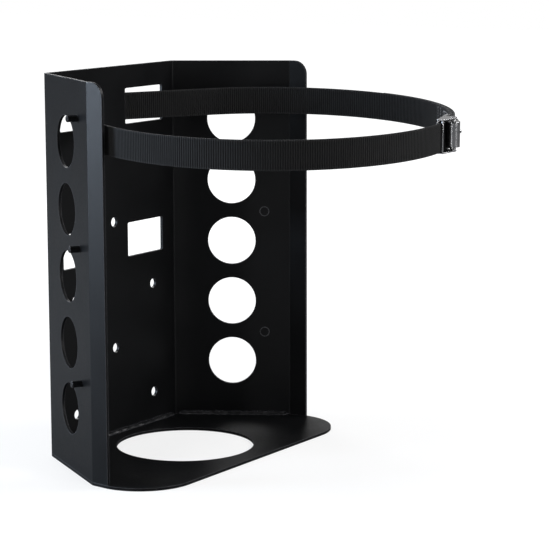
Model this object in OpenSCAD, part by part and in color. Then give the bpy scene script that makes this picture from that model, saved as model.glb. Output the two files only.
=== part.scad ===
// Wall bracket for an upright gas cylinder: a folded sheet shell on a welded base plate,
// with a webbing strap through windows in the back plate and a cam lever buckle.
// X runs along the back plate, the open front faces -Y and Z is up. Y = 0 is the front face
// of the back plate and Z = 0 is the underside of the base plate.

/* [Sheet] */
// Thickness of the steel sheet
sheet_t = 2.5; // [2:0.1:4]
// Inside radius of the folds
bend_r = 2; // [1:0.5:4]

/* [Shell] */
// Overall height of the bracket
body_h = 330; // [320:1:380]
// Width of the back plate between its two folds
back_w = 176; // [165:1:220]
// Width of each wing between its two folds
wing_w = 106; // [95:1:130]
// Angle that each wing is folded forward from the back plate
wing_turn = 58; // [50:1:65]
// Width of the lip at the front of each wing
lip_w = 16.5; // [14:0.5:24]
// Further angle that each lip is folded
lip_turn = 26; // [20:1:34]
// Radius of the lip's top corner
lip_corner_r = 12; // [6:0.5:14]

/* [Base plate] */
// Reach of the base plate in front of the back plate's front face
base_reach = 153.5; // [150:0.5:200]
// Radius of the base plate's front corners
base_corner_r = 47; // [30:1:47]
// Diameter of the round hole in the base plate
base_hole_d = 120; // [80:1:130]
// Distance of that hole's centre in front of the back plate's front face
base_hole_y = 75.5; // [70:0.5:80]
// Leg of the weld beads along the foot of the shell
weld_leg = 3; // [2:0.5:5]

/* [Wing holes] */
// Diameter of the holes in the wings
wing_hole_d = 43.5; // [30:0.5:48]
// Height of the lowest wing hole's centre
wing_hole_low_z = 53.5; // [50:0.5:57]
// Distance of the highest wing hole's centre below the top edge
wing_hole_top_drop = 52.5; // [50:0.5:56]
// Number of holes in each wing
wing_hole_count = 5; // [3:1:5]

/* [Strap windows] */
// Width of the upper windows, which the strap passes through
upper_win_w = 54; // [45:0.5:60]
// Height of the upper windows
upper_win_h = 31.5; // [29:0.5:36]
// Distance of the upper windows' centre below the top edge
upper_win_drop = 36; // [32:0.5:45]
// Width of the lower windows
lower_win_w = 51; // [40:0.5:60]
// Height of the lower windows
lower_win_h = 30.5; // [24:0.5:36]
// Height of the lower windows' centre
lower_win_z = 174.8; // [165:0.1:180]
// Distance of the windows' centres from the middle of the back plate
win_x = 45; // [42:0.5:50]
// Radius of the windows' corners
win_corner_r = 1.5; // [0.5:0.5:4]

/* [Mounting holes] */
// Diameter of the mounting holes
bolt_hole_d = 8.5; // [6:0.1:11]
// Height of the lower hole on the centre line
centre_hole_z = 80; // [70:0.5:90]
// Spacing of the two holes on the centre line
centre_hole_pitch = 113; // [105:0.5:120]
// Height of the lower pair of side holes
side_hole_z = 30; // [20:0.5:40]
// Horizontal spacing of the side holes
side_hole_dx = 111; // [100:0.5:120]
// Vertical spacing of the side holes
side_hole_dz = 100.5; // [90:0.5:105]

/* [Pegs] */
// Diameter of the pegs on the wings' outer faces
peg_d = 5.5; // [4:0.1:7]
// Length that a peg stands out of the wing
peg_out = 9; // [5:0.5:15]
// Diameter of the flush head on the inner face
peg_head_d = 8.5; // [8:0.1:10]
// Thickness of the flush head
peg_head_t = 1.2; // [0.8:0.1:1.6]
// Distance of the pegs from the wing's rear fold
peg_from_fold = 83; // [78:0.5:90]
// Height of the lowest peg
peg_low_z = 80.5; // [70:0.5:90]
// Spacing from the lowest peg to the middle one
peg_low_pitch = 112; // [105:0.5:118]
// Distance of the top peg below the top edge
peg_top_drop = 31; // [26:0.5:37]

/* [Strap] */
// Width of the webbing
strap_w = 24; // [20:0.5:25]
// Thickness of the webbing
strap_t = 1.5; // [1.2:0.1:2]
// Radius of the loop
loop_r = 151.3; // [148:0.1:155]
// Gap between the loop's circle and the back plate's front face
loop_gap = 14.2; // [12:0.1:20]
// Distance of the strap's middle below the upper windows' centre, at the back plate
strap_drop = 1.4; // [-1:0.1:3]
// Angle that the loop droops towards its front
loop_droop = 1.8; // [0:0.1:3]
// Angle that the loop leans sideways, with its right-hand side higher
loop_lean = 2.5; // [0:0.1:3]
// Length of the sewn double layer behind the buckle
sewn_len = 82; // [50:1:95]
// Length of the loose tail past the buckle
tail_len = 178; // [60:1:190]

/* [Buckle] */
// Angle of the buckle round the loop from its front
buckle_turn = 16; // [10:0.5:30]
// Thickness of the buckle's sheet
plate_t = 1.5; // [1.2:0.1:1.8]
// Height of the hinge pin's axis over the middle of the webbing
pin_rise = 7; // [6.4:0.1:7.6]
// Diameter of the hinge pin
pin_d = 3; // [2.5:0.1:3.5]
// Diameter of the anchor bar that the sewn end goes round
anchor_d = 3; // [2.5:0.1:3.2]
// Distance of the anchor bar behind the hinge pin
anchor_x = 13; // [12.5:0.1:15]
// Diameter of the bar at the buckle's front
front_bar_d = 1.8; // [1.6:0.1:2.4]
// Distance of the front bar ahead of the hinge pin
front_x = 16; // [15:0.5:19]
// Length of the frame's pointed nose ahead of the front bar
nose_len = 4.4; // [3:0.2:6]
// Width of the metal round the bars in the frame's ears
frame_rim = 2.2; // [1.8:0.1:2.4]
// Width of the curled cam between the frame's ears
cam_w = 20.6; // [18:0.2:21]
// Length of the lever's plate behind the cam
lever_len = 28; // [22:1:32]
// Width of the lever's plate
lever_w = 17.5; // [15:0.5:20]

/* [Clearances] */
// Radial clearance of the pegs in the wings
peg_fit = 0.03; // [0:0.01:0.1]
// Radial clearance of the lever on its hinge pin
hinge_fit = 0.06; // [0.03:0.01:0.1]
// Gap between the webbing and what it lies against
soft_gap = 0.3; // [0.2:0.05:0.5]
// Gap on each side of the webbing inside the buckle
side_gap = 1.2; // [0.5:0.1:1.5]
// Gap between the loose tail and the end of the closed lever
lever_gap = 1; // [0.8:0.1:2]
// Radial gap between the cam's hub and the webbing, where the lobe isn't
hub_gap = 0.4; // [0.2:0.1:0.6]

/* [Hidden] */

$fn = 96;
round_fn = 32;
cut = 1;

powder_black = [0.09, 0.09, 0.10];
webbing_black = [0.13, 0.13, 0.14];
stainless = [0.78, 0.79, 0.80];

// Shell: distances from a fold's corner to where its bend starts and ends.
wing_setback = bend_r * tan(wing_turn / 2);
lip_setback = bend_r * tan(lip_turn / 2);
outer_bend_r = bend_r + sheet_t;
shell_h = body_h - sheet_t;
lip_angle = wing_turn + lip_turn;
wing_hole_pitch = (body_h - wing_hole_top_drop - wing_hole_low_z) / (wing_hole_count - 1);
peg_heights = [peg_low_z, peg_low_z + peg_low_pitch, body_h - peg_top_drop];
upper_win_z = body_h - upper_win_drop;
weld_end_gap = weld_leg * tan(wing_turn / 2) + 0.8;

function along(angle) = [cos(angle), -sin(angle)];
function outward(angle) = [sin(angle), cos(angle)];
fold_1 = [back_w / 2, 0];
fold_2 = fold_1 + wing_w * along(wing_turn);
lip_end = fold_2 + lip_w * along(lip_angle);
bend_1 = fold_1 + wing_setback * [-1, 0] + bend_r * [0, -1];
bend_2 = fold_2 - lip_setback * along(wing_turn) - bend_r * outward(wing_turn);
lip_outer = lip_end + sheet_t * outward(lip_angle);

// Points of the folds seen from above, from the back plate's right-hand fold to the lip's end.
function arc(centre, r, from, to) =
    let (n = ceil(abs(to - from) / fold_step))
        [for (i = [0 : n]) let (a = from + (to - from) * i / n) centre + r * [cos(a), sin(a)]];
function reversed(p) = [for (i = [len(p) - 1 : -1 : 0]) p[i]];
function both_sides(p) = concat(p, [for (q = reversed(p)) [-q[0], q[1]]]);
fold_step = 3;
outer_side = concat(
    arc(bend_1, outer_bend_r, 90, 90 - wing_turn),
    arc(bend_2, outer_bend_r, 90 - wing_turn, 90 - lip_angle),
    [lip_outer]
);
inner_side = concat(
    arc(bend_1, bend_r, 90, 90 - wing_turn),
    arc(bend_2, bend_r, 90 - wing_turn, 90 - lip_angle),
    [lip_end]
);

// Strap: the loop is seen from above, with angles counted from its front towards +X.
strap_into_window = 4;
loop_y = loop_r + loop_gap;
loop_z = upper_win_z - strap_drop;
loop_c = [0, -loop_y];
strap_back_y = sheet_t + soft_gap + strap_t / 2 + strap_w / 2 * sin(loop_droop);
window_edge_x = win_x - upper_win_w / 2 + strap_into_window;
to_window = [window_edge_x, strap_back_y + loop_y];
window_dist = norm(to_window);
side_leave = 180 - atan2(to_window[0], to_window[1]) - acos(loop_r / window_dist);
straight_lead = 1.6;
frame_half = front_x + nose_len + straight_lead;
chord_turn = asin(frame_half / loop_r);
chord_r = loop_r * cos(chord_turn);
sewn_turn = chord_turn + (sewn_len - frame_half + anchor_x) / loop_r * 180 / PI;
tail_off = strap_t + soft_gap;
tail_turn = chord_turn + (tail_len - frame_half) / (loop_r + tail_off) * 180 / PI;
arc_step = 4;

// Buckle: x runs from its front to the lever's end and y points away from the cylinder.
anchor_play = 0.1;
bed_y = -strap_t / 2 - soft_gap - plate_t;
bed_start = -front_x - nose_len;
bed_len = anchor_x / 2 - bed_start;
ear_z = strap_w / 2 + side_gap;
anchor_y = -strap_t / 2;
wrap_r = anchor_d / 2 + anchor_play + strap_t;
wrap_top = anchor_y + wrap_r + soft_gap + strap_t / 2;
front_bar_y = strap_t / 2 + soft_gap + front_bar_d / 2;
cam_tip_y = strap_t / 2 + soft_gap;
hub_r = pin_rise - cam_tip_y - hub_gap;
hub_half = cam_w / 2;
tail_top_y = sqrt(pow(loop_r + tail_off + strap_t / 2, 2) - pow(lever_len, 2)) - chord_r;
lever_slope = asin((pin_rise + hub_r - plate_t - tail_top_y - lever_gap) / lever_len);
spring_gap = 0.3;
spring_wire_d = 0.8;
spring_len = ear_z - hub_half - 2 * spring_gap;

module rounded_rect(w, h, r) {
    square([w - 2 * r, h], center = true);
    square([w, h - 2 * r], center = true);
    for (x = [-1, 1], z = [-1, 1])
        translate([x * (w / 2 - r), z * (h / 2 - r)]) circle(r);
}

// Stands a flat outline drawn in X and Z up as a cutter through a plate whose faces are
// at Y = 0 and Y = sheet_t.
module through_plate() {
    translate([0, sheet_t + cut, 0])
        rotate([90, 0, 0])
            linear_extrude(sheet_t + 2 * cut) children();
}

// Moves children drawn on the back plate's face onto the right-hand wing, where X counts
// from the wing's rear fold.
module on_wing() {
    translate([fold_1[0], fold_1[1], 0]) rotate([0, 0, -wing_turn]) children();
}

module wing_holes() {
    for (i = [0 : wing_hole_count - 1])
        translate([wing_w / 2, wing_hole_low_z + i * wing_hole_pitch]) circle(d = wing_hole_d);
}

module peg_seats() {
    for (z = peg_heights) translate([peg_from_fold, 0, z]) rotate([-90, 0, 0]) {
        translate([0, 0, -cut]) cylinder(d = peg_d + 2 * peg_fit, h = sheet_t + 2 * cut);
        translate([0, 0, -cut]) cylinder(d = peg_head_d + 2 * peg_fit, h = peg_head_t + cut);
    }
}

// The lip's top front corner, cut away outside its radius.
module lip_corner() {
    translate([lip_w - lip_corner_r, body_h - lip_corner_r]) difference() {
        square(lip_corner_r + cut);
        circle(lip_corner_r);
    }
}

module side_cuts() {
    on_wing() {
        through_plate() wing_holes();
        peg_seats();
    }
    translate([fold_2[0], fold_2[1], 0]) rotate([0, 0, -lip_angle]) through_plate() lip_corner();
}

module back_openings() {
    for (s = [-1, 1]) {
        translate([s * win_x, upper_win_z]) rounded_rect(upper_win_w, upper_win_h, win_corner_r);
        translate([s * win_x, lower_win_z]) rounded_rect(lower_win_w, lower_win_h, win_corner_r);
        for (z = [0, side_hole_dz])
            translate([s * side_hole_dx / 2, side_hole_z + z]) circle(d = bolt_hole_d);
    }
    for (z = [0, centre_hole_pitch])
        translate([0, centre_hole_z + z]) circle(d = bolt_hole_d);
}

module shell() {
    color(powder_black) difference() {
        translate([0, 0, sheet_t]) linear_extrude(shell_h)
            polygon(both_sides(concat(outer_side, reversed(inner_side))));
        through_plate() back_openings();
        side_cuts();
        mirror([1, 0, 0]) side_cuts();
    }
}

module base_plate() {
    corner_r = min(base_corner_r, base_reach + lip_outer[1]);
    corner = [lip_outer[0] - corner_r, corner_r - base_reach];
    color(powder_black) linear_extrude(sheet_t) difference() {
        polygon(both_sides(concat(outer_side, arc(corner, corner_r, 0, -90))));
        translate([0, -base_hole_y]) circle(d = base_hole_d);
    }
}

// A bead of length len in the corner between the base plate and a plate whose front face
// is at Y = 0, starting at X = 0.
module weld_bead(len) {
    translate([0, 0, sheet_t]) rotate([90, 0, 90])
        linear_extrude(len) polygon([[0, 0], [0, weld_leg], [-weld_leg, 0]]);
}

module weld_back() {
    len = back_w - 2 * weld_end_gap;
    color(powder_black) translate([-len / 2, 0, 0]) weld_bead(len);
}

module weld_right() {
    color(powder_black) on_wing() translate([weld_end_gap, 0, 0])
        weld_bead(wing_w - weld_end_gap - lip_setback - 1);
}

module weld_left() {
    mirror([1, 0, 0]) weld_right();
}

module peg(z) {
    chamfer = 0.6;
    color(powder_black) on_wing() translate([peg_from_fold, 0, z]) rotate([-90, 0, 0]) {
        cylinder(d = peg_head_d, h = peg_head_t);
        cylinder(d = peg_d, h = sheet_t + peg_out - chamfer);
        translate([0, 0, sheet_t + peg_out - chamfer])
            cylinder(d1 = peg_d, d2 = peg_d - 2 * chamfer, h = chamfer);
    }
}

module peg_left(z) {
    mirror([1, 0, 0]) peg(z);
}

// The strap's own plane, which droops forward and leans sideways from its height at the
// back plate.
module in_loop_plane() {
    translate([0, 0, loop_z]) rotate([loop_droop, -loop_lean, 0]) children();
}

function on_loop(angle, r) = loop_c + r * [sin(angle), -cos(angle)];
function buckle_point(p) = loop_c
    + (chord_r + p[1]) * [sin(buckle_turn), -cos(buckle_turn)]
    + p[0] * [cos(buckle_turn), sin(buckle_turn)];
function arc_points(from, to, r) =
    let (n = max(2, ceil(abs(to - from) / arc_step)))
        [for (i = [0 : n]) on_loop(from + (to - from) * i / n, r)];

// Points beside a run p, at a distance s to its left, which is the loop's inside.
function heading(p, i) =
    let (a = p[max(i - 1, 0)], b = p[min(i + 1, len(p) - 1)], d = b - a) d / norm(d);
function beside(p, s) =
    [for (i = [0 : len(p) - 1]) let (d = heading(p, i)) p[i] + s * [-d[1], d[0]]];

// The single layer's rise inside the buckle, from its bed to over the wrapped anchor bar.
rise_start = 2;
rise_steps = 6;
function rise(f) =
    [rise_start + f * (anchor_x - rise_start - 1), wrap_top * (1 - cos(180 * f)) / 2];

// The webbing's run: the sewn double layer from the anchor bar, then the single layer round
// the loop, behind the back plate's middle strip, through the buckle and out to the tail.
sewn_run = concat(
    [buckle_point([anchor_x, 0])],
    arc_points(buckle_turn + chord_turn, buckle_turn + sewn_turn, loop_r)
);
loop_run = concat(
    arc_points(buckle_turn + sewn_turn, side_leave, loop_r),
    [[window_edge_x, strap_back_y], [-window_edge_x, strap_back_y]],
    arc_points(360 - side_leave, 360 + buckle_turn - chord_turn, loop_r),
    [for (i = [0 : rise_steps]) buckle_point(rise(i / rise_steps))],
    [buckle_point([anchor_x + rise_start, wrap_top])],
    arc_points(buckle_turn + chord_turn, buckle_turn + tail_turn, loop_r + tail_off)
);

module strap() {
    anchor = buckle_point([anchor_x, anchor_y]);
    outer = -strap_t / 2;
    color(webbing_black) in_loop_plane() translate([0, 0, -strap_w / 2]) difference() {
        union() {
            linear_extrude(strap_w) polygon(concat(
                beside(sewn_run, strap_t * 3 / 2),
                beside(loop_run, strap_t / 2),
                reversed(beside(loop_run, outer)),
                reversed(beside(sewn_run, outer))
            ));
            translate(anchor) cylinder(r = wrap_r, h = strap_w);
        }
        translate([anchor[0], anchor[1], -cut])
            cylinder(d = anchor_d + 2 * anchor_play, h = strap_w + 2 * cut);
    }
}

// Places children drawn in the buckle's own x, y and z.
module in_buckle() {
    in_loop_plane()
        translate([loop_c[0], loop_c[1], 0])
            rotate([0, 0, buckle_turn])
                translate([0, -chord_r, 0])
                    mirror([0, 1, 0]) children();
}

module across(d, half) {
    translate([0, 0, -half]) cylinder(d = d, h = 2 * half);
}

// One ear of the frame, from its low pointed nose over the hinge boss to the anchor bar.
module ear() {
    nose_r = (front_bar_d + frame_rim) / 2;
    boss_r = pin_d / 2 + frame_rim;
    tail_r = anchor_d / 2 + frame_rim;
    linear_extrude(plate_t) difference() {
        hull() {
            translate([-front_x, front_bar_y]) circle(nose_r, $fn = round_fn);
            translate([0, pin_rise]) circle(boss_r, $fn = round_fn);
            translate([anchor_x, anchor_y]) circle(tail_r, $fn = round_fn);
            translate([bed_start, bed_y]) square([bed_len, plate_t]);
        }
        translate([0, pin_rise]) circle(d = pin_d);
        translate([anchor_x, anchor_y]) circle(d = anchor_d);
        translate([-front_x, front_bar_y]) circle(d = front_bar_d);
    }
}

module buckle_frame() {
    color(stainless) in_buckle() {
        for (z = [-ear_z - plate_t, ear_z]) translate([0, 0, z]) ear();
        translate([bed_start, bed_y, -ear_z]) cube([bed_len, plate_t, 2 * ear_z]);
    }
}

module front_bar() {
    color(stainless) in_buckle() translate([-front_x, front_bar_y, 0])
        across(front_bar_d, ear_z + plate_t);
}

module anchor_bar() {
    color(stainless) in_buckle() translate([anchor_x, anchor_y, 0])
        across(anchor_d, ear_z + plate_t);
}

module hinge_pin() {
    head_t = 0.8;
    head_rim = 0.9;
    color(stainless) in_buckle() translate([0, pin_rise, 0]) {
        across(pin_d, ear_z + plate_t);
        for (s = [-1, 1]) translate([0, 0, s * (ear_z + plate_t + head_t / 2)])
            across(pin_d + 2 * head_rim, head_t / 2);
    }
}

// The lever's sheet curled round the pin: open at the rear, closed by a cheek at each end,
// with a lobe along its lower edge that bites the webbing.
module cam_curl() {
    lobe_r = 2.8;
    mouth_x = 1.2;
    mouth_top = 2;
    inner_half = hub_half - plate_t;
    difference() {
        union() {
            translate([0, pin_rise, 0]) across(2 * hub_r, hub_half);
            translate([0, cam_tip_y + lobe_r, 0]) across(2 * lobe_r, hub_half);
        }
        translate([0, pin_rise, 0]) across(2 * (hub_r - plate_t), inner_half);
        translate([mouth_x, pin_rise - hub_r - cut, -inner_half])
            cube([hub_r + cut, hub_r + cut + mouth_top, 2 * inner_half]);
    }
}

module lever_plate() {
    tip_r = 2.5;
    linear_extrude(plate_t) {
        translate([0, -lever_w / 2]) square([lever_len - tip_r, lever_w]);
        translate([0, tip_r - lever_w / 2]) square([lever_len, lever_w - 2 * tip_r]);
        for (s = [-1, 1])
            translate([lever_len - tip_r, s * (lever_w / 2 - tip_r)]) circle(tip_r);
    }
}

module cam_lever() {
    dimple_r = 2;
    dimple_h = 1.6;
    dimple_x = 5;
    dimple_z = 1.5;
    color(stainless) in_buckle() difference() {
        union() {
            cam_curl();
            translate([0, pin_rise, 0]) rotate([0, 0, -lever_slope]) {
                translate([0, hub_r, 0]) rotate([90, 0, 0]) lever_plate();
                translate([dimple_x, hub_r, dimple_z]) rotate([-90, 0, 0])
                    cylinder(r1 = dimple_r, r2 = dimple_r / 2, h = dimple_h);
            }
        }
        translate([0, pin_rise, 0]) across(pin_d + 2 * hinge_fit, hub_half + cut);
    }
}

// Room taken by one torsion spring on the hinge pin, beside the cam.
module spring(side) {
    middle = side * (hub_half + spring_gap + spring_len / 2);
    inner_d = pin_d + 2 * spring_gap;
    color(stainless) in_buckle() translate([0, pin_rise, middle]) difference() {
        across(inner_d + 2 * spring_wire_d, spring_len / 2);
        across(inner_d, spring_len / 2 + cut);
    }
}

shell();
base_plate();
weld_back();
weld_left();
weld_right();
peg_left(peg_heights[0]);  // peg_left_low
peg_left(peg_heights[1]);  // peg_left_mid
peg_left(peg_heights[2]);  // peg_left_top
peg(peg_heights[0]);  // peg_right_low
peg(peg_heights[1]);  // peg_right_mid
peg(peg_heights[2]);  // peg_right_top
strap();
buckle_frame();
front_bar();
anchor_bar();
hinge_pin();
cam_lever();
spring(1);  // spring_top
spring(-1);  // spring_bottom
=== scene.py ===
# %% [markdown]
# # A gas cylinder bracket, dressed
# The bracket is a folded steel shell welded to a flat base plate. A webbing strap runs
# through windows in its back and is pulled tight with a stainless cam buckle. The packed
# CAD model gives every rigid piece its true shape and place, so those pieces stay and only
# get their finish here. The soft strap, the springs and the welds are plain stand-ins in
# the CAD model, so each gets a piece of its own.

# %% Load the fixed frame
import math

import bmesh
import bpy
from mathutils import Euler, Matrix, Vector


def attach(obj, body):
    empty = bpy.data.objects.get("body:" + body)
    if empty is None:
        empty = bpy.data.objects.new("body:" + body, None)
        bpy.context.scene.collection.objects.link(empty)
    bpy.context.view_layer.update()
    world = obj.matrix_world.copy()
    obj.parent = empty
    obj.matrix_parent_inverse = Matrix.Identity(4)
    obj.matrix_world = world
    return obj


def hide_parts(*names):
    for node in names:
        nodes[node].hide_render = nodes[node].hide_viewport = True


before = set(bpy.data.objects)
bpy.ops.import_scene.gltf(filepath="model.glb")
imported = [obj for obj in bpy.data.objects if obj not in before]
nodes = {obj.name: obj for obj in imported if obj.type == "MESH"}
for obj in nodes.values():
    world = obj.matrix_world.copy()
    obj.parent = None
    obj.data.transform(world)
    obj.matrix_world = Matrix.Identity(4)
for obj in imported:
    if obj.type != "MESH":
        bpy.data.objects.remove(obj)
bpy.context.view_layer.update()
MM = 0.001
print("CAD nodes:", len(nodes))

# %% [markdown]
# ## Camera
# The bracket is seen from its left front and a little above. A long lens keeps the
# uprights almost parallel. The camera could track an empty, but fixed angles are easier to
# check, so its place and turn are written out.

# %% Camera
lens_data = bpy.data.cameras.new("Camera")
lens_data.lens = 141.23
lens_data.sensor_width = 36.0
lens_data.shift_x = 0.0083
lens_data.shift_y = -0.0081
lens_data.clip_start = 0.05
camera = bpy.data.objects.new("Camera", lens_data)
camera.location = (-1.48598, -1.17191, 0.46480)
camera.rotation_euler = Euler((math.radians(80.496), math.radians(0.163), math.radians(-55.950)))
bpy.context.scene.collection.objects.link(camera)
bpy.context.scene.camera = camera
print("Camera lens:", lens_data.lens, "mm")

# %% [markdown]
# ## World, floor and lamps
# The bracket stands on a white sweep, as in a catalogue. The floor's own colour and a
# little glow that only the camera and reflections see make it white, so no extra light
# falls on the black coat. In reflections the white stands behind the bracket as a backdrop
# and is dimmer, or the satin coat would look grey all over. A large soft lamp at the right
# front lights the base's edge and the strap, a bluish one at the left rear draws the lips,
# narrow ones draw the folds and the buckle, and weak ones overhead and behind do the rest.


# %% Helpers for node trees
def linked(tree, kind, sockets=(), **settings):
    """A new node with its settings, whose inputs are linked to sockets or set to values."""
    made = tree.nodes.new(kind)
    for key, value in settings.items():
        setattr(made, key, value)
    for key, value in sockets:
        if isinstance(value, bpy.types.NodeSocket):
            tree.links.new(value, made.inputs[key])
        else:
            made.inputs[key].default_value = value
    return made


def maths(tree, operation, *values):
    """One Math node's output, from sockets or numbers."""
    return linked(tree, "ShaderNodeMath", enumerate(values), operation=operation).outputs[0]


def rays(tree):
    """Light Path's camera and transmission rays as one mask, and its glossy rays."""
    path = linked(tree, "ShaderNodeLightPath")
    clear = maths(tree, "MAXIMUM", path.outputs["Is Camera Ray"],
                  path.outputs["Is Transmission Ray"])
    return clear, path.outputs["Is Glossy Ray"]


def backdrop(tree, place, near, far):
    """A mask that is 1 within near degrees of straight behind the bracket and 0 past far."""
    level = linked(tree, "ShaderNodeVectorMath", [(0, place), (1, (1, 1, 0))],
                   operation="MULTIPLY")
    unit = linked(tree, "ShaderNodeVectorMath", [(0, level.outputs[0])], operation="NORMALIZE")
    cosine = linked(tree, "ShaderNodeVectorMath", [(0, unit.outputs[0]), (1, BEHIND)],
                    operation="DOT_PRODUCT")
    return linked(tree, "ShaderNodeMapRange",
                  [("Value", cosine.outputs["Value"]), ("From Min", math.cos(math.radians(far))),
                   ("From Max", math.cos(math.radians(near)))],
                  interpolation_type="SMOOTHSTEP").outputs[0]


BEHIND = (0.785, 0.620, 0.0)
GLOSSY_SHARE = 0.45
print("White in reflections:", GLOSSY_SHARE)

# %% World
SIDE_SHARE = 0.15
world = bpy.data.worlds.new("Studio")
bpy.context.scene.world = world
world.use_nodes = True
sky = world.node_tree
sky.nodes.clear()
soft_sky = linked(sky, "ShaderNodeBackground",
                  [("Color", (0.95, 0.97, 1.0, 1)), ("Strength", 0.35)])
way = linked(sky, "ShaderNodeTexCoord")
shine = linked(sky, "ShaderNodeMapRange",
               [("Value", backdrop(sky, way.outputs["Generated"], 8, 14)),
                ("To Min", SIDE_SHARE * GLOSSY_SHARE), ("To Max", GLOSSY_SHARE)])
clear, glossy = rays(sky)
sky_level = linked(sky, "ShaderNodeMix",
                   [("Factor", glossy), ("A", 1.0), ("B", shine.outputs[0])])
white_sky = linked(sky, "ShaderNodeBackground",
                   [("Color", (1, 1, 1, 1)), ("Strength", sky_level.outputs[0])])
shown = maths(sky, "MAXIMUM", clear, glossy)
sky_mix = linked(sky, "ShaderNodeMixShader",
                 [(0, shown), (1, soft_sky.outputs[0]), (2, white_sky.outputs[0])])
linked(sky, "ShaderNodeOutputWorld", [(0, sky_mix.outputs[0])])
print("World:", world.name)

# %% Floor
NEAR_GLOW = 0.72
GLOW_RISE = [("From Min", 0.3), ("From Max", 1.4)]
floor_mesh = bmesh.new()
bmesh.ops.create_grid(floor_mesh, x_segments=1, y_segments=1, size=6.0)
floor_data = bpy.data.meshes.new("Floor")
floor_mesh.to_mesh(floor_data)
floor_mesh.free()
floor = bpy.data.objects.new("Floor", floor_data)
bpy.context.scene.collection.objects.link(floor)

floor_paint = bpy.data.materials.new("Floor_white")
floor_paint.use_nodes = True
paint = floor_paint.node_tree
paint.nodes.clear()
matt = linked(paint, "ShaderNodeBsdfDiffuse", [("Color", (0.27, 0.27, 0.27, 1))])
spot = linked(paint, "ShaderNodeNewGeometry")
distance = linked(paint, "ShaderNodeVectorMath", [(0, spot.outputs["Position"])],
                  operation="LENGTH")
glow_rise = linked(paint, "ShaderNodeMapRange",
                   GLOW_RISE + [("Value", distance.outputs["Value"]), ("To Min", NEAR_GLOW)])
shine_rise = linked(paint, "ShaderNodeMapRange",
                    GLOW_RISE + [("Value", distance.outputs["Value"]),
                                 ("To Max", GLOSSY_SHARE)])
shine_share = maths(paint, "MULTIPLY", shine_rise.outputs[0],
                    backdrop(paint, spot.outputs["Position"], 20, 36))
clear, glossy = rays(paint)
glow_share = maths(paint, "MULTIPLY", glow_rise.outputs[0], clear)
glow_seen = linked(paint, "ShaderNodeMix",
                   [("Factor", glossy), ("A", glow_share), ("B", shine_share)])
glow = linked(paint, "ShaderNodeEmission", [("Strength", glow_seen.outputs[0])])
both = linked(paint, "ShaderNodeAddShader", [(0, matt.outputs[0]), (1, glow.outputs[0])])
linked(paint, "ShaderNodeOutputMaterial", [(0, both.outputs[0])])
floor_data.materials.append(floor_paint)
print("Floor:", floor.name)


# %% Lamps
def soft_lamp(name, place, width, tall, power, colour=(1, 1, 1)):
    """A soft box at place that faces the middle of the bracket."""
    data = bpy.data.lights.new(name, "AREA")
    data.shape = "RECTANGLE"
    data.size, data.size_y = width, tall
    data.energy = power
    data.color = colour
    lamp = bpy.data.objects.new(name, data)
    lamp.location = place
    lamp.rotation_euler = (MIDDLE - lamp.location).to_track_quat("-Z", "Y").to_euler()
    bpy.context.scene.collection.objects.link(lamp)
    return lamp


MIDDLE = Vector((0, -0.1, 0.16))
soft_lamp("Key", (1.1, -1.3, 1.4), 1.0, 1.0, 20)
soft_lamp("Lip_edge", (-1.1, 1.3, 0.6), 0.7, 1.0, 40, (0.72, 0.84, 1.0))
soft_lamp("Front_strip", (-0.2, -2.1, 0.7), 0.25, 1.2, 10)
soft_lamp("Left_strip", (-1.9, -0.2, 1.2), 0.3, 0.8, 4)
soft_lamp("Line_strip", (-1.85, -0.43, 0.33), 0.1, 0.6, 4)
soft_lamp("Top", (0.1, 0.1, 2.0), 1.2, 1.2, 5)
soft_lamp("Rear", (1.25, 1.55, 1.5), 0.9, 0.9, 18)
print("Lamps:", len(bpy.data.lights))

# %% [markdown]
# ## Shared effects
# Two effects are used by more than one finish, so each is a node group. The first is a
# soft edge: a mask that is strong where a surface turns sharply. It lightens the colour
# there, partly for the thin coat on a sheared edge and for rubbed metal, and partly as a
# painted highlight. The second is a fine two-scale grain.


# %% Helper for node groups
def group(name, inputs, outputs):
    """A new shader node group with its sockets, and its in and out nodes."""
    tree = bpy.data.node_groups.new(name, "ShaderNodeTree")
    for label, kind, value in inputs:
        tree.interface.new_socket(label, in_out="INPUT", socket_type=kind).default_value = value
    for label, kind in outputs:
        tree.interface.new_socket(label, in_out="OUTPUT", socket_type=kind)
    return tree, tree.nodes.new("NodeGroupInput"), tree.nodes.new("NodeGroupOutput")


FLOAT = "NodeSocketFloat"

# %% Edge mask group
edge_group, e_in, e_out = group(
    "Edge_mask", [("Radius", FLOAT, 0.0008)], [("Mask", FLOAT)])
rounded = linked(edge_group, "ShaderNodeBevel", [("Radius", e_in.outputs["Radius"])], samples=4)
true_face = linked(edge_group, "ShaderNodeNewGeometry")
facing = linked(edge_group, "ShaderNodeVectorMath",
                [(0, rounded.outputs[0]), (1, true_face.outputs["Normal"])],
                operation="DOT_PRODUCT")
edge_amount = linked(edge_group, "ShaderNodeMapRange",
                     [("Value", facing.outputs["Value"]), ("From Min", 1.0),
                      ("From Max", 0.72)])
edge_group.links.new(edge_amount.outputs[0], e_out.inputs["Mask"])
print("Group:", edge_group.name)

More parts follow.
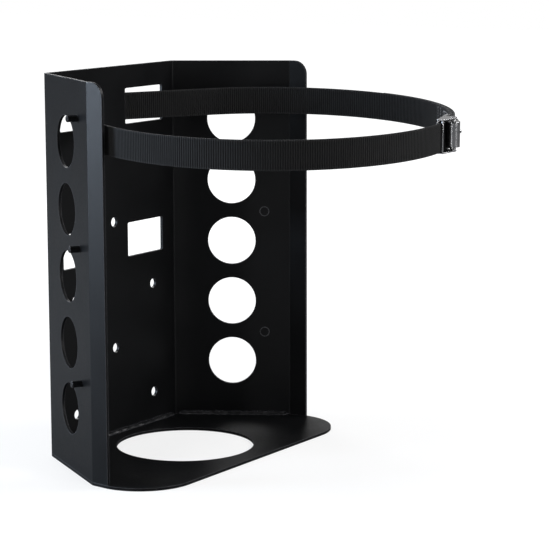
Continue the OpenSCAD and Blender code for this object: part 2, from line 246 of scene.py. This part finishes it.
# %% Grain group
grain_group, g_in, g_out = group(
    "Fine_grain",
    [("Coarse", FLOAT, 60.0), ("Fine", FLOAT, 900.0), ("Fine share", FLOAT, 0.5)],
    [("Mask", FLOAT)])
where = linked(grain_group, "ShaderNodeTexCoord")
coarse = linked(grain_group, "ShaderNodeTexNoise",
                [("Vector", where.outputs["Object"]), ("Scale", g_in.outputs["Coarse"]),
                 ("Detail", 3.0), ("Roughness", 0.5)])
fine = linked(grain_group, "ShaderNodeTexNoise",
              [("Vector", where.outputs["Object"]), ("Scale", g_in.outputs["Fine"]),
               ("Detail", 2.0), ("Roughness", 0.6)])
grain_mix = linked(grain_group, "ShaderNodeMix",
                   [("Factor", g_in.outputs["Fine share"]), ("A", coarse.outputs[0]),
                    ("B", fine.outputs[0])])
grain_group.links.new(grain_mix.outputs[0], g_out.inputs["Mask"])
print("Group:", grain_group.name)


# %% Start of a finish
def finish(name):
    """A new material with a Principled shader, its tree and that shader."""
    made = bpy.data.materials.new(name)
    made.use_nodes = True
    tree = made.node_tree
    tree.nodes.clear()
    shader = tree.nodes.new("ShaderNodeBsdfPrincipled")
    out = tree.nodes.new("ShaderNodeOutputMaterial")
    tree.links.new(shader.outputs[0], out.inputs[0])
    return made, tree, shader


def use_group(tree, which, **values):
    """Places a shared group in a material with its own values."""
    placed = tree.nodes.new("ShaderNodeGroup")
    placed.node_tree = which
    for key, value in values.items():
        placed.inputs[key.replace("_", " ")].default_value = value
    return placed


# %% [markdown]
# ## Powder coat
# The sheet is sprayed with dry black powder and baked. Close up, the skin has a fine
# pebble, and it is a little glossier and greyer along sheared edges, where it draws thin;
# that lighter edge colour is partly the thin coat and partly a painted highlight.
# One material would do for every coated piece, but the pressed-in pegs are coated over
# turned steel and come out smoother, and their lighter ends are a painted highlight, so
# they get a finish of their own.


# %% Powder coat
def powder_coat(name, pebble, roughness, rim, edge_and_highlight_level):
    """Satin black powder coat: depth of pebble, gloss, width and level of the lighter edges, partly
    thin coat and partly painted highlight.
    """
    made, tree, shader = finish(name)
    grain = use_group(tree, grain_group, Coarse=26.0, Fine=640.0, Fine_share=0.5)
    edges = use_group(tree, edge_group, Radius=rim)
    tint = linked(tree, "ShaderNodeMapRange",
                  [("Value", grain.outputs[0]), ("From Min", 0.3), ("From Max", 0.7)])
    base = linked(tree, "ShaderNodeMix",
                  [("Factor", tint.outputs[0]), ("A", (0.0024, 0.0025, 0.0030, 1)),
                   ("B", (0.0044, 0.0046, 0.0053, 1))], data_type="RGBA")
    # Sharp edges are mixed towards a lighter grey: partly thin coat on sheared edges, partly a
    # painted highlight.
    coat_edge_and_highlight = linked(tree, "ShaderNodeMix",
                  [("Factor", edges.outputs[0]), ("A", base.outputs["Result"]),
                   ("B", (edge_and_highlight_level, edge_and_highlight_level, 1.08 * edge_and_highlight_level, 1))], data_type="RGBA")
    tree.links.new(coat_edge_and_highlight.outputs["Result"], shader.inputs["Base Color"])
    gloss = linked(tree, "ShaderNodeMapRange",
                   [("Value", grain.outputs[0]), ("From Min", 0.3), ("From Max", 0.7),
                    ("To Min", roughness - 0.05), ("To Max", roughness + 0.07)])
    tree.links.new(gloss.outputs[0], shader.inputs["Roughness"])
    soft = linked(tree, "ShaderNodeBevel", [("Radius", 0.0005)], samples=4)
    bump = linked(tree, "ShaderNodeBump",
                  [("Strength", 0.35), ("Distance", pebble), ("Height", grain.outputs[0]),
                   ("Normal", soft.outputs[0])])
    tree.links.new(bump.outputs[0], shader.inputs["Normal"])
    shader.inputs["Specular IOR Level"].default_value = 0.2
    return made


sheet_coat = powder_coat("Powder_coat", pebble=0.0002, roughness=0.38, rim=0.0009, edge_and_highlight_level=0.10)
# On the peg ends and along the weld bead the lighter edge colour is a painted highlight.
peg_coat = powder_coat("Peg_coat", pebble=0.0001, roughness=0.34, rim=0.0013, edge_and_highlight_level=0.16)
weld_coat = powder_coat("Weld_coat", pebble=0.0001, roughness=0.24, rim=0.0016, edge_and_highlight_level=0.13)
print("Coats:", sheet_coat.name, peg_coat.name, weld_coat.name)


# %% Dress the coated sheet and pegs
def dress(name, made):
    """Puts one material on a CAD node."""
    mesh = nodes[name].data
    mesh.materials.clear()
    mesh.materials.append(made)


for sheet in ("shell", "base_plate"):
    dress(sheet, sheet_coat)
PEGS = [f"peg_{side}_{level}" for side in ("left", "right") for level in ("low", "mid", "top")]
for peg in PEGS:
    dress(peg, peg_coat)
print("Coated pieces:", 2 + len(PEGS))

# %% [markdown]
# ## Stainless steel
# The buckle is pressed from bright stainless strip and barrelled in stones to take its
# burrs off. That leaves fine scratches one way along each pressing and a soft bright line
# on every corner; in the colour that line is partly rubbed metal and partly a painted
# highlight. Stretched noise gives the scratches, and a bevel shader rounds the corners for
# the light without touching the CAD meshes.


# %% Stainless
BUCKLE_TURN = 16.0


def stainless(name, stretch, roughness, colour, round_off=0.00035):
    """Brushed steel: the noise's scale along X, Y and Z, its gloss, and how far edges round."""
    made, tree, shader = finish(name)
    place = linked(tree, "ShaderNodeTexCoord")
    turned = linked(tree, "ShaderNodeMapping",
                    [("Vector", place.outputs["Object"]),
                     ("Rotation", (0, 0, math.radians(-BUCKLE_TURN))), ("Scale", stretch)])
    scratch = linked(tree, "ShaderNodeTexNoise",
                     [("Vector", turned.outputs[0]), ("Scale", 100.0), ("Detail", 4.0),
                      ("Roughness", 0.65)])
    grain = use_group(tree, grain_group, Coarse=90.0, Fine=1800.0, Fine_share=0.1)
    edges = use_group(tree, edge_group, Radius=0.0006)
    shade = linked(tree, "ShaderNodeMix",
                   [("Factor", grain.outputs[0]), ("A", tuple(0.86 * c for c in colour) + (1,)),
                    ("B", tuple(colour) + (1,))], data_type="RGBA")
    # Edges are mixed towards near-white: partly rubbed metal, partly a painted highlight line.
    bright = linked(tree, "ShaderNodeMix",
                    [("Factor", edges.outputs[0]), ("A", shade.outputs["Result"]),
                     ("B", (0.85, 0.85, 0.86, 1))], data_type="RGBA")
    tree.links.new(bright.outputs["Result"], shader.inputs["Base Color"])
    gloss = linked(tree, "ShaderNodeMapRange",
                   [("Value", scratch.outputs[0]), ("From Min", 0.25), ("From Max", 0.75),
                    ("To Min", roughness - 0.05), ("To Max", roughness + 0.07)])
    tree.links.new(gloss.outputs[0], shader.inputs["Roughness"])
    soft = linked(tree, "ShaderNodeBevel", [("Radius", round_off)], samples=6)
    bump = linked(tree, "ShaderNodeBump",
                  [("Strength", 0.06), ("Distance", 0.00004), ("Height", scratch.outputs[0]),
                   ("Normal", soft.outputs[0])])
    tree.links.new(bump.outputs[0], shader.inputs["Normal"])
    shader.inputs["Metallic"].default_value = 1.0
    return made


frame_steel = stainless("Frame_steel", (1.0, 8.0, 8.0), 0.22, (0.50, 0.50, 0.51))
lever_steel = stainless("Lever_steel", (1.0, 8.0, 8.0), 0.22, (0.42, 0.42, 0.43), 0.0012)
bar_steel = stainless("Bar_steel", (8.0, 8.0, 1.0), 0.2, (0.36, 0.36, 0.37))
spring_steel = stainless("Spring_steel", (4.0, 4.0, 4.0), 0.25, (0.5, 0.5, 0.5))
dress("cam_lever", lever_steel)
print("Lever dressed")


# %% Helper that turns a bmesh into a piece
def piece(name, mesh_work, material, body, recalc=True):
    """Closes a bmesh into an object at the origin that rides on a body."""
    if recalc:
        bmesh.ops.recalc_face_normals(mesh_work, faces=mesh_work.faces)
    data = bpy.data.meshes.new(name)
    mesh_work.to_mesh(data)
    mesh_work.free()
    for face in data.polygons:
        face.use_smooth = True
    data.materials.append(material)
    made = bpy.data.objects.new(name, data)
    bpy.context.scene.collection.objects.link(made)
    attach(made, body)
    return made


# %% [markdown]
# ## Weld beads
# Three beads join the shell's foot to the base plate. A welder lays each as a row of
# overlapping puddles, so the bead is a crowned strip with a ripple at every puddle. A
# bump could draw the ripples, but they catch the light on the bead's outline, so they are
# modelled: a grid is bent over the corner and each row is pushed out or in.

# %% Weld beads
WELD_LEG = 3.4 * MM
PUDDLE = 1.7 * MM


def weld(name, node_name, start, end, inward, wobble):
    """A rippled fillet from start to end in the corner that opens towards inward and up."""
    start, end, inward = Vector(start), Vector(end), Vector(inward).normalized()
    run = end - start
    rows = int(run.length / PUDDLE * 5)
    work = bmesh.new()
    bmesh.ops.create_grid(work, x_segments=rows, y_segments=8, size=0.5)
    for v in work.verts:
        along, turn = v.co.x + 0.5, (v.co.y + 0.5) * math.pi / 2
        lag = math.cos(turn * 2 - math.pi / 2) * 0.5
        ripple = (along * run.length / PUDDLE - lag) % 1.0
        taper = min(1.0, along * 28, (1 - along) * 28)
        wander = 1 + 0.06 * math.sin(along * 37 + wobble) + 0.04 * math.sin(along * 91 + 2 * wobble)
        crown = 0.93 + 0.09 * math.sin(2 * turn) + 0.05 * (1 - ripple) ** 0.6
        reach = WELD_LEG * crown * wander * max(0.25, taper ** 0.5)
        chord = reach / (math.cos(turn) + math.sin(turn)) * (1 + 0.12 * math.sin(2 * turn))
        v.co = (start + run * along + inward * (chord * math.cos(turn))
                + Vector((0, 0, chord * math.sin(turn))))
    edges = [e for e in work.edges if e.is_boundary]
    bmesh.ops.edgenet_fill(work, edges=edges)
    made = piece(name, work, weld_coat, "bracket")
    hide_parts(node_name)
    return made


SHEET_T = 2.5
FOLD_X = 88 * MM
WING_TURN = math.radians(58)
WELD_RUN = (2.5 * MM, 104.5 * MM)
FOOT_Z = SHEET_T * MM
wing_way = Vector((math.cos(WING_TURN), -math.sin(WING_TURN), 0))
wing_in = Vector((-math.sin(WING_TURN), -math.cos(WING_TURN), 0))
fold_right = Vector((FOLD_X, 0, FOOT_Z))
back_end = FOLD_X - WELD_RUN[0]
weld("Weld_back", "weld_back", (-back_end, 0, FOOT_Z), (back_end, 0, FOOT_Z), (0, -1, 0), 0.3)
near, far = (fold_right + wing_way * run for run in WELD_RUN)
weld("Weld_right", "weld_right", near, far, wing_in, 1.1)
flip = Matrix.Scale(-1, 3, (1, 0, 0))
weld("Weld_left", "weld_left", flip @ near, flip @ far, flip @ wing_in, 2.4)
print("Weld beads: 3")

# %% [markdown]
# ## Webbing strap
# The strap is one length of flat woven webbing. Its end is folded round the buckle's
# anchor bar and stitched back on itself. The rest goes round the cylinder, behind the
# back plate, round again, and up through the cam to a loose tail. A curve with a flat
# bevel could follow that route, but the weave then has nothing to hold on to. So the route
# is drawn once as a row of points, an edge strip is extruded across it, and every face
# gets a map of its distance along the strap and across it.

# %% Strap plane and route
STRAP_W, STRAP_T, GAP = 24.0, 1.5, 0.3
LOOP_R, LOOP_Y, LOOP_Z = 151.3, 165.5, 292.6
ANCHOR_X, ANCHOR_R = 13.0, 1.5
SEWN_TURN, TAIL_TURN = 36.0, 66.7
FRAME_HALF = 22.0
STRAP_DROOP = 1.92


def tilted(lean, droop):
    """The place of the loop's plane, leaning sideways and drooping forward by degrees."""
    return (Matrix.Translation((0, 0, LOOP_Z * MM))
            @ Matrix.Rotation(math.radians(-lean), 4, "Y")
            @ Matrix.Rotation(math.radians(droop), 4, "X") @ Matrix.Scale(MM, 4))


loop_plane = tilted(2.5, 1.8)
strap_plane = tilted(2.35, STRAP_DROOP)
chord_turn = math.degrees(math.asin(FRAME_HALF / LOOP_R))
chord_r = LOOP_R * math.cos(math.radians(chord_turn))


def on_loop(angle, r):
    """A point of the loop, seen from above, counted from its front."""
    a = math.radians(angle)
    return Vector((r * math.sin(a), -LOOP_Y - r * math.cos(a)))


def at_buckle(x, y):
    """A point in the buckle's own x, from front to rear, and y, outwards."""
    a = math.radians(BUCKLE_TURN)
    return Vector(((chord_r + y) * math.sin(a) + x * math.cos(a),
                   -LOOP_Y - (chord_r + y) * math.cos(a) + x * math.sin(a)))


def arc(start, stop, r, step=1.0):
    """Points of the loop between two angles."""
    count = max(2, round(abs(stop - start) / step))
    return [on_loop(start + (stop - start) * i / count, r) for i in range(count + 1)]


back_y = SHEET_T + GAP + STRAP_T / 2 + STRAP_W / 2 * math.sin(math.radians(STRAP_DROOP))
EDGE_X = 22.0
reach = math.hypot(EDGE_X, back_y + LOOP_Y)
leave = 180 - math.degrees(math.atan2(EDGE_X, back_y + LOOP_Y)) - math.degrees(
    math.acos(LOOP_R / reach))
anchor_y = -STRAP_T / 2
wrap_mid = ANCHOR_R + 0.1 + STRAP_T / 2
wrap_top = anchor_y + ANCHOR_R + 0.1 + STRAP_T + GAP + STRAP_T / 2

inner = arc(BUCKLE_TURN + SEWN_TURN, BUCKLE_TURN + chord_turn, LOOP_R - STRAP_T)
wrap = [at_buckle(ANCHOR_X - wrap_mid * math.sin(a), anchor_y - wrap_mid * math.cos(a))
        for a in [math.radians(d) for d in range(-25, 206, 15)]]
outer = arc(BUCKLE_TURN + chord_turn, leave, LOOP_R)
behind = [Vector((EDGE_X - 2 * EDGE_X * i / 8, back_y)) for i in range(9)]
left = arc(360 - leave, 360 + BUCKLE_TURN - chord_turn, LOOP_R)
rise = [at_buckle(2 + f * (ANCHOR_X - 3), wrap_top * (1 - math.cos(math.pi * f)) / 2)
        for f in [i / 8 for i in range(9)]]
tail = arc(BUCKLE_TURN + chord_turn, BUCKLE_TURN + TAIL_TURN, LOOP_R + STRAP_T + GAP)
route = inner + wrap + outer + behind + left + rise + [at_buckle(ANCHOR_X + 2, wrap_top)] + tail
print("Route points:", len(route))


# %% Even steps along the route
def even(points, step):
    """The same run with points at equal steps, its corners eased."""
    runs = [0.0]
    for a, b in zip(points, points[1:]):
        runs.append(runs[-1] + (b - a).length)
    count = round(runs[-1] / step)
    out, k = [], 0
    for i in range(count + 1):
        want = runs[-1] * i / count
        while k < len(points) - 2 and runs[k + 1] < want:
            k += 1
        share = (want - runs[k]) / max(1e-9, runs[k + 1] - runs[k])
        out.append(points[k].lerp(points[k + 1], min(1.0, share)))
    return out


STEP = 1.5
smooth_route = even(route, STEP)
for _ in range(2):
    smooth_route = ([smooth_route[0]]
                    + [a * 0.25 + b * 0.5 + c * 0.25 for a, b, c in
                       zip(smooth_route, smooth_route[1:], smooth_route[2:])]
                    + [smooth_route[-1]])
strap_length = sum((b - a).length for a, b in zip(smooth_route, smooth_route[1:]))
print("Strap length:", round(strap_length), "mm")

# %% [markdown]
# ## The woven finish
# Ribbed polyester webbing shows fine ribs across its width, each a row of thick picks, and
# a tighter rolled edge along both sides. Its colour follows that relief: a painted
# highlight on the ribs and rolled edges and a painted shade in the valleys. The map that
# rides on the strap gives distance along and across in millimetres, so the ribs stay
# square to the strap round every bend.

# %% Webbing material
webbing, tree, shader = finish("Webbing")
strap_map = linked(tree, "ShaderNodeUVMap", uv_map="Weave")
split = linked(tree, "ShaderNodeSeparateXYZ", [("Vector", strap_map.outputs[0])])
along, across = split.outputs["X"], split.outputs["Y"]
RIB, YARN, SELVEDGE = 1.9, 0.95, 1.3

rib_wave = maths(tree, "SINE", maths(tree, "MULTIPLY", along, 2 * math.pi / RIB))
yarn_wave = maths(tree, "SINE", maths(tree, "MULTIPLY", across, 2 * math.pi / YARN))
edge_line = maths(tree, "GREATER_THAN", maths(tree, "ABSOLUTE", across), STRAP_W / 2 - SELVEDGE)
fuzz = use_group(tree, grain_group, Coarse=160.0, Fine=2600.0, Fine_share=0.6)
relief = maths(tree, "ADD", maths(tree, "MULTIPLY", rib_wave, 0.5),
               maths(tree, "MULTIPLY", maths(tree, "MULTIPLY", yarn_wave, rib_wave), 0.3))
relief = maths(tree, "ADD", relief, maths(tree, "MULTIPLY", edge_line, 0.6))
relief = maths(tree, "ADD", relief, maths(tree, "MULTIPLY", fuzz.outputs[0], 0.5))
# Colour from relief: painted highlight on ridges and rolled edges, painted shade in valleys, with
# some random yarn tone from the fuzz.
relief_shade = linked(tree, "ShaderNodeMapRange",
              [("Value", relief), ("From Min", -0.45), ("From Max", 1.1)])
weave_colour = linked(tree, "ShaderNodeMix",
                      [("Factor", relief_shade.outputs[0]), ("A", (0.0010, 0.0010, 0.0011, 1)),
                       ("B", (0.0270, 0.0270, 0.0275, 1))], data_type="RGBA")
tree.links.new(weave_colour.outputs["Result"], shader.inputs["Base Color"])
weave_bump = linked(tree, "ShaderNodeBump",
                    [("Strength", 0.85), ("Distance", 0.0006), ("Height", relief)])
tree.links.new(weave_bump.outputs[0], shader.inputs["Normal"])
shader.inputs["Roughness"].default_value = 0.62
shader.inputs["Sheen Weight"].default_value = 0.05
shader.inputs["Sheen Roughness"].default_value = 0.4
shader.inputs["Specular IOR Level"].default_value = 0.11
print("Material:", webbing.name)

# %% Strap piece
ACROSS = 8
work = bmesh.new()
weave = work.loops.layers.uv.new("Weave")
row = [work.verts.new((p.x, p.y, -STRAP_W / 2)) for p in smooth_route]
edges = [work.edges.new(pair) for pair in zip(row, row[1:])]
for _ in range(ACROSS):
    grown = bmesh.ops.extrude_edge_only(work, edges=edges)["geom"]
    new_row = [g for g in grown if isinstance(g, bmesh.types.BMVert)]
    edges = [g for g in grown if isinstance(g, bmesh.types.BMEdge)]
    bmesh.ops.translate(work, verts=new_row, vec=(0, 0, STRAP_W / ACROSS))
    edges = [e for e in edges if abs(e.verts[0].co.z - e.verts[1].co.z) < 1e-6]
order = {(round(p.x, 4), round(p.y, 4)): i for i, p in enumerate(smooth_route)}  # by place
for face in work.faces:
    for corner in face.loops:
        co = corner.vert.co
        index = order[(round(co.x, 4), round(co.y, 4))]
        corner[weave].uv = (index * STEP, co.z)
bmesh.ops.transform(work, matrix=strap_plane, verts=work.verts)
strap = piece("Webbing_strap", work, webbing, "bracket", recalc=False)
thick = strap.modifiers.new("Thickness", "SOLIDIFY")
thick.thickness = STRAP_T * MM
thick.offset = 0
rolled = strap.modifiers.new("Rolled_edge", "BEVEL")
rolled.width = 0.45 * MM
rolled.segments = 2
rolled.limit_method = "ANGLE"
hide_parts("strap")
print("Strap faces:", len(strap.data.polygons))

# %% [markdown]
# ## Buckle frame and its bars
# The frame is pressed from strip into a shallow channel: a bed under the webbing and two
# ears, each a web up to the hinge pin and a low arm back to the anchor bar. Stamping leaves
# its corners rounded. A boolean of plates would do, but its edges come out too ragged for a
# clean bevel, so every ear is an outline drawn round a few circles and given a thickness.
# The two bars and the pin are turned, with slightly domed ends, so they are spun profiles.

# %% Outline round circles
EAR_IN, EAR_T = 12.9, 1.1
EAR_OUT = EAR_IN + EAR_T
BED_LOW, BED_HIGH = -2.55, -1.05
BAR_AT = (-16.0, 1.95)
PIN_AT = (0.0, 7.0)
ANCHOR_AT = (ANCHOR_X, -0.75)


def around(circles, steps=20):
    """The tight outline round circles given as (x, y, radius)."""
    spots = sorted((x + r * math.cos(2 * math.pi * k / steps),
                    y + r * math.sin(2 * math.pi * k / steps))
                   for x, y, r in circles for k in range(steps))
    sides = []
    for run in (spots, spots[::-1]):
        side = []
        for q in run:
            while len(side) > 1 and ((side[-1][0] - side[-2][0]) * (q[1] - side[-2][1])
                                     <= (side[-1][1] - side[-2][1]) * (q[0] - side[-2][0])):
                side.pop()
            side.append(q)
        sides += side[:-1]
    return sides


def slab(work, outline, low, high):
    """A plate with that outline between two heights."""
    rim = [work.verts.new((x, y, low)) for x, y in outline]
    face = work.faces.new(rim)
    grown = bmesh.ops.extrude_face_region(work, geom=[face])["geom"]
    raised = [g for g in grown if isinstance(g, bmesh.types.BMVert)]
    bmesh.ops.translate(work, verts=raised, vec=(0, 0, high - low))


def into_buckle(work):
    """Moves a mesh drawn in the buckle's own x, y and z to its place."""
    for v in work.verts:
        flat = at_buckle(v.co.x, v.co.y)
        v.co.x, v.co.y = flat.x, flat.y
    bmesh.ops.transform(work, matrix=loop_plane, verts=work.verts)


print("Ear height:", EAR_OUT, "mm")

# %% Frame
BED_FRONT, BED_REAR = -17.4, 6.5
TONGUE_HALF, TUCK = 11.6, 0.2
work = bmesh.new()
web = around([(*BAR_AT, 1.7), (*PIN_AT, 2.9), (-16.6, BED_LOW + 0.8, 0.8),
              (3.0, BED_LOW + 0.8, 0.8)])
arm = around([(0.0, BED_LOW + 0.85, 0.75), (*ANCHOR_AT, 2.4)])
for low, high in ((EAR_IN, EAR_OUT), (-EAR_OUT, -EAR_IN)):
    slab(work, web, low, high)
    slab(work, arm, low + 0.04, high - 0.04)
slab(work, [(BED_FRONT, BED_LOW), (BED_REAR, BED_LOW), (BED_REAR, BED_HIGH),
            (BED_FRONT, BED_HIGH)], -EAR_IN - TUCK, EAR_IN + TUCK)
slab(work, [(-20.2, BED_LOW + 0.2), (-17.0, BED_LOW + 0.04), (-17.0, BED_HIGH - 0.04),
            (-20.2, BED_HIGH - 0.2)], -TONGUE_HALF, TONGUE_HALF)
into_buckle(work)
buckle = piece("Buckle_frame", work, frame_steel, "bracket")
for face in buckle.data.polygons:
    face.use_smooth = False
pressed = buckle.modifiers.new("Pressed_edge", "BEVEL")
pressed.width = 0.28 * MM
pressed.segments = 2
pressed.limit_method = "ANGLE"
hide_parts("buckle_frame")
print("Frame faces:", len(buckle.data.polygons))


# %% Bars and pin
def turned(name, node_name, spot, profile):
    """A turned pin on a spot of the buckle, spun from (radius, height) pairs."""
    work = bmesh.new()
    line = [work.verts.new((r, 0, z)) for r, z in profile]
    runs = [work.edges.new(pair) for pair in zip(line, line[1:])]
    bmesh.ops.spin(work, geom=line + runs, cent=(0, 0, 0), axis=(0, 0, 1),
                   angle=2 * math.pi, steps=24, use_merge=True, use_duplicate=False)
    bmesh.ops.remove_doubles(work, verts=work.verts, dist=1e-4)
    bmesh.ops.translate(work, verts=work.verts, vec=(*spot, 0))
    into_buckle(work)
    made = piece(name, work, bar_steel, "bracket")
    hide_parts(node_name)
    return made


def plain_bar(radius, half):
    """The profile of a bar with domed ends."""
    dome = [(radius * math.cos(a), half - 0.35 + 0.35 * math.sin(a))
            for a in (0, 0.5, 1.0, math.pi / 2)]
    return [(r, -z) for r, z in dome[::-1]] + dome


def headed_pin(radius, half, head, rise):
    """The profile of a pin with a peened head at each end."""
    dome = [(head * math.cos(a), half + rise * (0.35 + 0.65 * math.sin(a)))
            for a in (0, 0.4, 0.8, 1.2, math.pi / 2)]
    top = [(radius, half - 0.2), (radius, half), (head, half)] + dome
    return [(r, -z) for r, z in top[::-1]] + top


BAR_PROUD, PIN_R = 0.25, 1.5
turned("Front_bar", "front_bar", BAR_AT, plain_bar(0.9, EAR_OUT + BAR_PROUD))
turned("Anchor_bar", "anchor_bar", ANCHOR_AT, plain_bar(ANCHOR_R, EAR_OUT + BAR_PROUD))
turned("Hinge_pin", "hinge_pin", PIN_AT, headed_pin(PIN_R, EAR_OUT, 2.3, 0.7))
print("Turned pieces: 3")

# %% [markdown]
# ## Springs
# Two small torsion springs sit on the hinge pin beside the cam and hold it down on the
# webbing. A sleeve would fill the space, but the coils show in the gap at the ears, so a
# wire's round end is spun about the pin while it climbs.

# %% Springs
WIRE = 0.8
HUB_HALF = 10.3
COIL_R = 1.8 + WIRE / 2
TURNS, SPIN_STEPS = 1.75, 48
pin_at = at_buckle(*PIN_AT)


def spring(name, node_name, side):
    """Two close coils on the pin between the cam and one ear."""
    work = bmesh.new()
    bmesh.ops.create_circle(work, cap_ends=False, radius=WIRE / 2, segments=10)
    bmesh.ops.rotate(work, verts=work.verts, cent=(0, 0, 0),
                     matrix=Matrix.Rotation(math.radians(90), 3, "X"))
    bmesh.ops.translate(work, verts=work.verts, vec=(COIL_R, 0, 0))
    start = HUB_HALF + GAP + WIRE / 2
    room = EAR_IN - GAP - WIRE / 2 - start
    bmesh.ops.translate(work, verts=work.verts, vec=(0, 0, start))
    ring = work.verts[:] + work.edges[:]
    bmesh.ops.spin(work, geom=ring, cent=(0, 0, 0), axis=(0, 0, 1), dvec=(0, 0, room / SPIN_STEPS),
                   angle=2 * math.pi * TURNS, steps=SPIN_STEPS, use_merge=False,
                   use_duplicate=False)
    rims = [e for e in work.edges if e.is_boundary]
    bmesh.ops.holes_fill(work, edges=rims, sides=0)
    if side < 0:
        bmesh.ops.scale(work, vec=(1, 1, -1), verts=work.verts)
    bmesh.ops.translate(work, verts=work.verts, vec=(pin_at.x, pin_at.y, 0))
    bmesh.ops.transform(work, matrix=loop_plane, verts=work.verts)
    made = piece(name, work, spring_steel, "bracket")
    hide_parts(node_name)
    return made


spring("Spring_top", "spring_top", 1)
spring("Spring_bottom", "spring_bottom", -1)
print("Springs: 2")

# %% [markdown]
# ## Stitching
# The folded end is held by a box with a cross in it and two rows near the cut end. Each
# stitch is a short bead of thread that sinks at both ends. One bead would look the same
# drawn in the material, but raised thread catches light as the real thread does.

# %% Thread
thread, tree, shader = finish("Thread")
twist_map = linked(tree, "ShaderNodeTexCoord")
twist = linked(tree, "ShaderNodeTexNoise",
               [("Vector", twist_map.outputs["Object"]), ("Scale", 3000.0), ("Detail", 2.0)])
thread_tone = linked(tree, "ShaderNodeMix",
                     [("Factor", twist.outputs[0]), ("A", (0.12, 0.12, 0.124, 1)),
                      ("B", (0.26, 0.26, 0.265, 1))], data_type="RGBA")
tree.links.new(thread_tone.outputs["Result"], shader.inputs["Base Color"])
thread_bump = linked(tree, "ShaderNodeBump",
                     [("Strength", 0.5), ("Distance", 0.0001), ("Height", twist.outputs[0])])
tree.links.new(thread_bump.outputs[0], shader.inputs["Normal"])
shader.inputs["Roughness"].default_value = 0.5
shader.inputs["Sheen Weight"].default_value = 0.2

# %% Stitches
STITCH = 2.4
ROWS = (47.0, 49.6)
BOX_START, BOX_END = 27.0, 44.0
HALF, ROW_HALF = 9.0, 11.0


def stitch_line(work, start, end, face_r):
    """Beads of thread between two (angle, height) points on the loop at radius face_r."""
    per_degree = LOOP_R * math.pi / 180
    run = Vector(((end[0] - start[0]) * per_degree, end[1] - start[1]))
    count = max(1, round(run.length / STITCH))
    for i in range(count):
        share = (i + 0.5) / count
        angle = start[0] + (end[0] - start[0]) * share
        height = start[1] + (end[1] - start[1]) * share
        bead = bmesh.ops.create_uvsphere(work, u_segments=8, v_segments=6, radius=1.0)["verts"]
        bmesh.ops.scale(work, verts=bead, vec=(run.length / count * 0.44, 0.35, 0.5))
        bmesh.ops.rotate(work, verts=bead, cent=(0, 0, 0),
                         matrix=Matrix.Rotation(math.radians(90), 3, "X"))
        bmesh.ops.rotate(work, verts=bead, cent=(0, 0, 0),
                         matrix=Matrix.Rotation(-math.atan2(run.y, run.x), 3, "Y"))
        bmesh.ops.rotate(work, verts=bead, cent=(0, 0, 0),
                         matrix=Matrix.Rotation(math.radians(angle), 3, "Z"))
        spot = on_loop(angle, face_r)
        bmesh.ops.translate(work, verts=bead, vec=(spot.x, spot.y, height))


work = bmesh.new()
low_start, low_end = (BOX_START, -HALF), (BOX_END, -HALF)
high_start, high_end = (BOX_START, HALF), (BOX_END, HALF)
for face_r in (LOOP_R - STRAP_T * 1.5, LOOP_R + STRAP_T / 2):
    for angle in ROWS:
        stitch_line(work, (angle, -ROW_HALF), (angle, ROW_HALF), face_r)
    for start, end in ((low_start, low_end), (high_start, high_end), (low_start, high_start),
                       (low_end, high_end), (low_start, high_end), (high_start, low_end)):
        stitch_line(work, start, end, face_r)
bmesh.ops.transform(work, matrix=strap_plane, verts=work.verts)
stitches = piece("Strap_stitches", work, thread, "bracket")
print("Stitch faces:", len(stitches.data.polygons))

# %% View settings
bpy.context.scene.view_settings.view_transform = "Standard"
